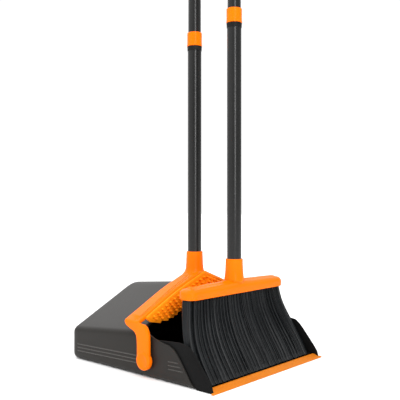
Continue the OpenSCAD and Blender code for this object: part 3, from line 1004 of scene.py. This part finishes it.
def strayFibres():
    # single fibres on the outside of the bundle, three-sided and a little loose
    rng = np.random.default_rng(tufts["seed"] + 1)
    x, y, z = tuftPaths()
    row = np.arange(len(x)) % tufts["rows"]
    backRow = row == tufts["rows"] - 1
    endTufts = (row > 0) & (np.abs(x[:, 0]) > strays["endFrom"])
    pick = np.concatenate([np.repeat(np.where(group)[0], count) for group, count in (
        (row == 0, strays["front"]), (backRow, strays["back"]), (endTufts, strays["end"]))])
    n = len(pick)
    t = np.linspace(0, 1, x.shape[1])
    angle = rng.uniform(0, 2 * np.pi, (n, 1))
    reach = tuftRadius(t) * rng.uniform(*strays["reach"], (n, 1))
    drift = rng.normal(0, 0.5, (n, 1)) * t ** 2
    cx = x[pick] + reach * np.cos(angle) + drift
    cy = y[pick] + reach * np.sin(angle) + rng.normal(0, 0.6, (n, 1)) * t ** 2
    a = np.linspace(0, 2 * np.pi, 3, endpoint=False)
    r = strays["radius"] * (1 - 0.5 * t[:, None] ** 3)
    px = cx[:, :, None] + r * np.cos(a)
    py = cy[:, :, None] + r * np.sin(a)
    pz = z[:, None] + rng.uniform(0, strays["rise"], (n, 1, 1)) * t[:, None] ** 4 + 0 * px
    body = np.stack([px, py, pz], -1)[:, ::2]
    top = body[:, :1].mean(2, keepdims=True) + 0 * body[:, :1]
    tip = body[:, -1:].mean(2, keepdims=True) + 0 * body[:, -1:]
    return manyParts(np.concatenate([top, body, tip], 1))


def makeBristles():
    parts = [bristleTufts(), strayFibres()]
    return buildPiece("bristle_tufts", parts, fibre, "broom", "bristles", sharp=60)


makeBroomHead()
makeBristles()
print("broom made")


fit = {"tubeWall": 0.75, "tubeEdge": 0.2, "bushBore": 12.55, "ringBore": 12.62, "ringGrip": 11.75,
       "gripBore": 11.7}


def radiusAndEnds(node):
    lo, hi = nodeBox(node)
    return hi[0], lo[2], hi[2]


def tubePiece(name, node, body, y):
    # thin tube with both edges broken
    r, z0, z1 = radiusAndEnds(node)
    inner = r - fit["tubeWall"]
    edge = fit["tubeEdge"]
    outside = [(r - 0.15, z0), (r, z0 + edge), (r, z0 + 40), (r, (z0 + z1) / 2), (r, z1 - 40), (r, z1 - edge),
               (r - 0.15, z1)]
    inside = [(inner + 0.1, z1), (inner, z1 - edge), (inner, z0 + edge), (inner + 0.1, z0)]
    profile = closeProfile(np.array(outside + inside))
    return buildPiece(name, [lathe(profile, y)], tubeGrey, body, node)


def ringPiece(name, node, body, y):
    # lock ring: slightly waisted, with a rolled foot and a shoulder above
    r, z0, z1 = radiusAndEnds(node)
    bore, grip = fit["ringBore"], fit["ringGrip"]
    foot = [(bore, z0 + 0.3), (12.9, z0), (r - 0.6, z0), (r, z0 + 0.8), (r, z0 + 2.2), (r - 0.35, z0 + 3.4)]
    waist = [(r - 0.5, z0 + 10), (r - 0.45, z1 - 5), (r - 0.45, z1 - 1.6), (r - 0.6, z1 - 0.5), (r - 1.2, z1)]
    inside = [(12.1, z1), (grip, z1 - 0.4), (grip, z0 + 14.2), (bore, z0 + 14.2)]
    profile = closeProfile(np.array(foot + waist + inside))
    return buildPiece(name, [lathe(profile, y, 72)], orange, body, node, sharp=60)


def bushPiece(name, node, body, y):
    # collar that widens upwards to a rounded edge
    r, z0, z1 = radiusAndEnds(node)
    bore = fit["bushBore"]
    outline = [(bore, z0), (12.9, z0), (13.1, z0 + 0.5), (r - 0.6, z1 - 2.2), (r - 0.35, z1 - 1.2),
               (r - 0.35, z1 - 0.4), (r - 0.9, z1), (bore, z1)]
    profile = closeProfile(np.array(outline))
    return buildPiece(name, [lathe(profile, y, 72)], fittingBlack, body, node, sharp=50)


def gripPiece(name, node, body, y):
    # sleeve with a swollen middle and fine rings, between two collars
    r, z0, z1 = radiusAndEnds(node)
    z = np.linspace(z0 + 5, z1 - 5, 181)
    t = (z - z0) / (z1 - z0)
    rings = 0.45 * np.abs(np.sin((z - z0) / 5 * np.pi)) ** 0.6
    outside = np.stack([r - 1.7 + 1.1 * np.sin(np.pi * t) + rings, z], -1)
    bore = fit["gripBore"]
    foot = [(bore, z0), (r - 1.2, z0), (r - 0.3, z0 + 0.6), (r, z0 + 1.6), (r, z0 + 3.4), (r - 0.4, z0 + 4.4)]
    head = [(r - 0.4, z1 - 4.4), (r, z1 - 3.4), (r, z1 - 1.4), (r - 0.4, z1 - 0.4), (r - 1.2, z1), (bore, z1)]
    profile = closeProfile(np.concatenate([foot, outside, head]))
    return buildPiece(name, [lathe(profile, y, 56)], gripBlack, body, node, sharp=60)


cap = {
    "sides": 64,
    # the disc from its middle round the rim, as (radius, height)
    "disc": [(0, 0), (13.6, 0), (14.4, 0.2), (14.9, 0.9), (15.0, 2.0), (15.0, 4.6), (14.6, 5.8), (13.6, 6.8)],
    "neck": (8.6, 3.6),
    "neckRise": 4.2,
    "post": (5.0, 2.0),
    "postTop": 12.4,
    # the eye: its middle below the top, its radius, and half of its bar across and through
    "eye": {"down": 12, "radius": 9.0, "across": 3.0, "through": 4.0},
}


def capLoft(z0, y):
    # disc that shuts the pole, drawn in and up into a flat neck
    a = np.linspace(0, 2 * np.pi, cap["sides"], endpoint=False)
    disc, flat = squircle(a, 1), squircle(a, 0.5)
    rows = [(radius * disc, height) for radius, height in cap["disc"]]
    radius, height = cap["disc"][-1]
    for t in np.linspace(0, 1, 9)[1:]:
        k = smoothStep(t)
        rows.append(((1 - k) * radius * disc + k * flat * cap["neck"], height + cap["neckRise"] * t))
    rows += [(flat * cap["post"], cap["postTop"]), (0 * disc, cap["postTop"])]
    up = np.ones((cap["sides"], 1))
    return gridPart(np.array([np.concatenate([xy + [0, y], up * (z0 + h)], 1) for xy, h in rows]))


def capEye(top, y):
    # rounded bar carried round the hole
    eye = cap["eye"]
    across, through = squircle(np.linspace(0, 2 * np.pi, 24, endpoint=False), 0.6).T
    turn = np.linspace(0, 2 * np.pi, 57)[:, None]
    radius = eye["radius"] + eye["across"] * across
    x, z = radius * np.sin(turn), top - eye["down"] + radius * np.cos(turn)
    return gridPart(np.stack([x, y + eye["through"] * through + 0 * x, z], -1))


def capPiece(name, node, body, y):
    z0, top = radiusAndEnds(node)[1:]
    parts = [capLoft(z0, y), capEye(top, y)]
    return buildPiece(name, parts, orange, body, node, sharp=50)


poles = {"pan": {"y": yoke["poleY"], "low": "handle", "ring": "pan_ring", "top": "pan_pole_top"},
         "broom": {"y": broomHead["y"], "low": "broom", "ring": "broom_ring", "top": "broom_pole_top"}}
for tool, pole in poles.items():
    tubePiece(tool + "_lower_tube", tool + "_tube_lower", pole["low"], pole["y"])
    bushPiece(tool + "_tube_collar", tool + "_tube_bush", pole["low"], pole["y"])
    ringPiece(tool + "_twist_ring", tool + "_lock_ring", pole["ring"], pole["y"])
    tubePiece(tool + "_upper_tube", tool + "_tube_upper", pole["top"], pole["y"])
    gripPiece(tool + "_handle_grip", tool + "_grip", pole["top"], pole["y"])
    capPiece(tool + "_hanging_cap", tool + "_hang_cap", pole["top"], pole["y"])
print("poles made")

for hidden in ("pivot_pin_left", "pivot_pin_right", "pan_tube_plug", "broom_tube_plug", "pan_tube_guide",
               "broom_tube_guide", "tuft_plate"):
    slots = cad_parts[hidden].data.materials
    slots.clear()
    slots.append(fittingBlack)
